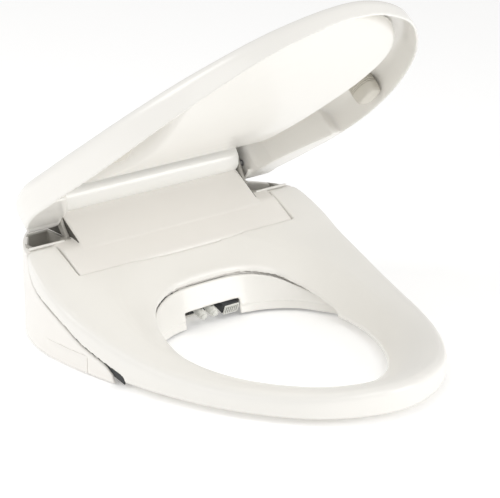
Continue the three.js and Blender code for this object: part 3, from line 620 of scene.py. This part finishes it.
# CAD node that each piece stands in for, with the piece and its body.
made = {
    "seat_upper_shell": (make_seat(), "seat"),
    "base_housing": (make_housing(), "base"),
    "front_apron": (make_apron(), "base"),
    "roll_cover": (make_roll(), "base"),
    "lid_shell": (make_lid(), "lid"),
    "lid_liner": (make_liner(), "lid"),
}
lips = []
for side, piece in zip(("right", "left"), mirrored(make_bumper)):
    piece.name = "lid_stop_" + side
    made["lid_bumper_" + side] = (opened(piece), "lid")
for side, piece, lip in zip(("right", "left"), mirrored(make_link), mirrored(make_flange)):
    piece.name = "seat_link_" + side
    lip.name = "seat_lip_" + side
    made["seat_hinge_arm_" + side] = (piece, "seat")
    lips.append(lip)
shade_pieces = []
for name, make in (("hinge_pocket_", make_pocket_shade_pan), ("tower_shade_plate_", make_shade_plate)):
    for side, piece in zip(("right", "left"), mirrored(make)):
        piece.name = name + side
        shade_pieces.append(piece)
seam_shade = make_seam_shade()
seam_shade.name = "seam_painted_shade"


# ------------------------------------------------------------------ materials
def rgb(r, g, b):
    """Linear colour of 8-bit display values."""
    def lin(c):
        c /= 255
        return c / 12.92 if c <= 0.04045 else ((c + 0.055) / 1.055) ** 2.4
    return (lin(r), lin(g), lin(b), 1.0)


def material(name, tone, rough, metal=0.0, grain=900.0, bump=0.02, drift=0.03, coat=0.0, spread=0.08):
    """Principled surface with broad colour drift, fine roughness variation and a grain as bump."""
    m = bpy.data.materials.new(name)
    m.use_nodes = True
    nt = m.node_tree
    p = nt.nodes["Principled BSDF"]
    p.inputs["Metallic"].default_value = metal
    if coat:
        p.inputs["Coat Weight"].default_value = coat
        p.inputs["Coat Roughness"].default_value = 0.12
    coord = nt.nodes.new("ShaderNodeTexCoord")
    broad = nt.nodes.new("ShaderNodeTexNoise")
    broad.inputs["Scale"].default_value = 9.0
    broad.inputs["Detail"].default_value = 3.0
    nt.links.new(coord.outputs["Object"], broad.inputs["Vector"])
    ramp = nt.nodes.new("ShaderNodeValToRGB")
    low = [c * (1 - drift) for c in tone[:3]] + [1]
    high = [min(1.0, c * (1 + drift)) for c in tone[:3]] + [1]
    ramp.color_ramp.elements[0].position = 0.35
    ramp.color_ramp.elements[0].color = low
    ramp.color_ramp.elements[1].position = 0.65
    ramp.color_ramp.elements[1].color = high
    nt.links.new(broad.outputs["Fac"], ramp.inputs["Fac"])
    nt.links.new(ramp.outputs["Color"], p.inputs["Base Color"])
    fine = nt.nodes.new("ShaderNodeTexNoise")
    fine.inputs["Scale"].default_value = grain
    fine.inputs["Detail"].default_value = 2.0
    nt.links.new(coord.outputs["Object"], fine.inputs["Vector"])
    smear = nt.nodes.new("ShaderNodeTexNoise")
    smear.inputs["Scale"].default_value = 34.0
    smear.inputs["Detail"].default_value = 5.0
    nt.links.new(coord.outputs["Object"], smear.inputs["Vector"])
    span = nt.nodes.new("ShaderNodeMapRange")
    span.inputs["To Min"].default_value = max(0.02, rough - spread)
    span.inputs["To Max"].default_value = min(1.0, rough + spread)
    nt.links.new(smear.outputs["Fac"], span.inputs["Value"])
    nt.links.new(span.outputs["Result"], p.inputs["Roughness"])
    b = nt.nodes.new("ShaderNodeBump")
    b.inputs["Strength"].default_value = bump
    b.inputs["Distance"].default_value = 0.0004
    nt.links.new(fine.outputs["Fac"], b.inputs["Height"])
    nt.links.new(b.outputs["Normal"], p.inputs["Normal"])
    return m


def gloss(name, tone, rough, coat):
    """Polished moulding: next to no drift, no grain and a clear coat."""
    return material(name, tone, rough, grain=14, bump=0.0, drift=0.001, coat=coat, spread=0.01)


SHELL = gloss("shell_gloss", rgb(240, 238, 233), 0.28, 0.3)
PANEL = gloss("housing_gloss", rgb(241, 238, 233), 0.32, 0.25)
# Roll tone whiter than the shell: painted light for the bright band on the roll, with a glossier finish as
# well.
ROLL_GLOSS_LIT = gloss("roll_gloss_painted_light", rgb(247, 246, 242), 0.22, 0.5)
LINING = gloss("lining_gloss", rgb(243, 241, 236), 0.3, 0.3)
SATIN = material("shell_satin", rgb(236, 233, 226), 0.42, grain=1100, bump=0.05, drift=0.012, coat=0.1)
# Mid grey of the hinge arms and pocket pans: painted shade for the cavity beside the tower.
LINK_SHADE_GREY = material("link_painted_shade_grey", rgb(176, 173, 166), 0.5, grain=1300, bump=0.05, drift=0.02)
# Dark grey of the tower plates: painted shade on faces that are the shell's white in deep shadow.
TOWER_SHADE_GREY = material("tower_painted_shade_grey", rgb(96, 94, 88), 0.55, grain=1300, bump=0.05, drift=0.03)
# Dark moulded plastic of the dark parts; the seam strip uses it as painted shade.
DARK_AND_SHADE = material("dark_moulded_and_painted_shade", rgb(58, 59, 61), 0.55, grain=1500, bump=0.2, drift=0.12)
ELASTO = material("elastomer", rgb(206, 202, 192), 0.72, grain=1300, bump=0.25, drift=0.05)
STEEL = material("satin_steel", rgb(188, 190, 194), 0.33, 0.95, grain=2200, bump=0.12, drift=0.04)
BRASS = material("turned_brass", rgb(186, 148, 84), 0.32, 0.95, grain=1800, bump=0.1, drift=0.07)
BOARD = material("solder_mask", rgb(38, 88, 58), 0.5, grain=500, bump=0.3, drift=0.2)
NATURAL = material("natural_moulded", rgb(222, 222, 216), 0.5, grain=1200, bump=0.1, drift=0.03)
BY_SLOT = {"shell": SHELL, "shell_inner": SATIN, "dark": DARK_AND_SHADE, "rubber": ELASTO, "steel": STEEL,
           "brass": BRASS, "circuit": BOARD, "natural": NATURAL}
SLOT_OF = {s["node"]: s["material_slot"] for s in frame["record"]["subparts"]}


def dress(obj, mat):
    obj.data.materials.clear()
    obj.data.materials.append(mat)


# Nodes whose material isn't the one of their slot.
# The roll cover's whiter tone is painted light.
SPECIAL = {"roll_cover": (ROLL_GLOSS_LIT, "shell"), "lid_liner": (LINING, "shell_inner"),
           "base_housing": (PANEL, "shell"),
           # The hinge arms' grey is painted shade.
           "seat_hinge_arm_left": (LINK_SHADE_GREY, "dark"), "seat_hinge_arm_right": (LINK_SHADE_GREY, "dark"),
           "rear_wash_nozzle": (NATURAL, "natural"), "front_wash_nozzle": (NATURAL, "natural"),
           "dryer_grille": (NATURAL, "natural"), "filter_cartridge": (PANEL, "shell")}


def finish_of(node):
    """Material and slot of a CAD node."""
    return SPECIAL.get(node, (BY_SLOT[SLOT_OF[node]], SLOT_OF[node]))


for node, (piece, body) in made.items():
    mat, slot = finish_of(node)
    dress(piece, mat)
    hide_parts(node)
    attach(piece, body)
# Pieces that paint shade: grey pocket pans, dark tower plates and the dark seam strip.
for piece in shade_pieces + [seam_shade]:
    if piece is seam_shade:
        dress(piece, DARK_AND_SHADE)
    # pocket pans: grey painted shade
    elif piece.name.startswith("hinge_pocket"):
        dress(piece, LINK_SHADE_GREY)
    else:
        dress(piece, TOWER_SHADE_GREY)
    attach(piece, "base")
for lip in lips:
    dress(lip, SHELL)
    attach(lip, "seat")

# The other CAD nodes stay, with their material, smooth shading and a fine bevel.
for node, obj in frame["nodes"].items():
    if node in made:
        continue
    for i in range(len(obj.material_slots)):
        obj.material_slots[i].material = finish_of(node)[0]
    obj.data.polygons.foreach_set("use_smooth", [True] * len(obj.data.polygons))
    weld = obj.modifiers.new("weld", "WELD")
    weld.merge_threshold = 0.02 * MM
    edge = obj.modifiers.new("edge", "BEVEL")
    edge.width = 0.4 * MM
    edge.segments = 2
    edge.limit_method = "ANGLE"
    edge.angle_limit = math.radians(35)
    edge.harden_normals = True

# ------------------------------------------------------------------ floor, light and camera
FLOOR_HALF = 8.0                  # metres
floor_mesh = bpy.data.meshes.new("floor")
corners = [(-1, -1), (1, -1), (1, 1), (-1, 1)]
floor_mesh.from_pydata([(x * FLOOR_HALF, y * FLOOR_HALF, 0) for x, y in corners], [], [(0, 1, 2, 3)])
floor = bpy.data.objects.new("floor", floor_mesh)
bpy.context.scene.collection.objects.link(floor)
FLOOR = material("floor_white", rgb(252, 252, 252), 0.85, grain=60, bump=0.0, drift=0.0)
bsdf = FLOOR.node_tree.nodes["Principled BSDF"]
bsdf.inputs["Emission Color"].default_value = (1, 1, 1, 1)
bsdf.inputs["Emission Strength"].default_value = 0.2     # lifts the floor to plain white
floor.data.materials.append(FLOOR)

world = bpy.data.worlds.new("studio")
world.use_nodes = True
world.node_tree.nodes["Background"].inputs["Color"].default_value = (1.0, 0.995, 0.985, 1)
world.node_tree.nodes["Background"].inputs["Strength"].default_value = 0.64
bpy.context.scene.world = world


TARGET = Vector((0.0, -0.2, 0.1))


def aim(obj, place, target):
    """Puts a light or the camera at a place in metres, looking at a target."""
    obj.location = place
    obj.rotation_euler = (target - place).to_track_quat("-Z", "Y").to_euler()
    bpy.context.scene.collection.objects.link(obj)


def softbox(name, place, size, power):
    light = bpy.data.lights.new(name, "AREA")
    light.shape = "RECTANGLE"
    light.size, light.size_y = size
    light.energy = power
    aim(bpy.data.objects.new(name, light), Vector(place), TARGET)


softbox("left", (-2.2, -0.3, 1.2), (1.2, 1.2), 4.5)
softbox("low_right", (1.2, -2.2, 0.6), (1.2, 0.8), 13)
softbox("back_left", (-1.6, 1.2, 1.6), (1.2, 1.2), 15)
softbox("front_top", (0.2, -2.0, 1.8), (1.2, 1.2), 9)

CAMERA_AT = Vector((-1.3602, -1.9105, 0.8952))
CAMERA_AIM = Vector((0.0049, -0.21, 0.1015))
camera_data = bpy.data.cameras.new("camera")
camera_data.lens = 158.4
camera_data.sensor_width = 36.0
camera = bpy.data.objects.new("camera", camera_data)
aim(camera, CAMERA_AT, CAMERA_AIM)
bpy.context.scene.camera = camera
bpy.context.scene.view_settings.view_transform = "Standard"
bpy.context.scene.view_settings.look = "None"
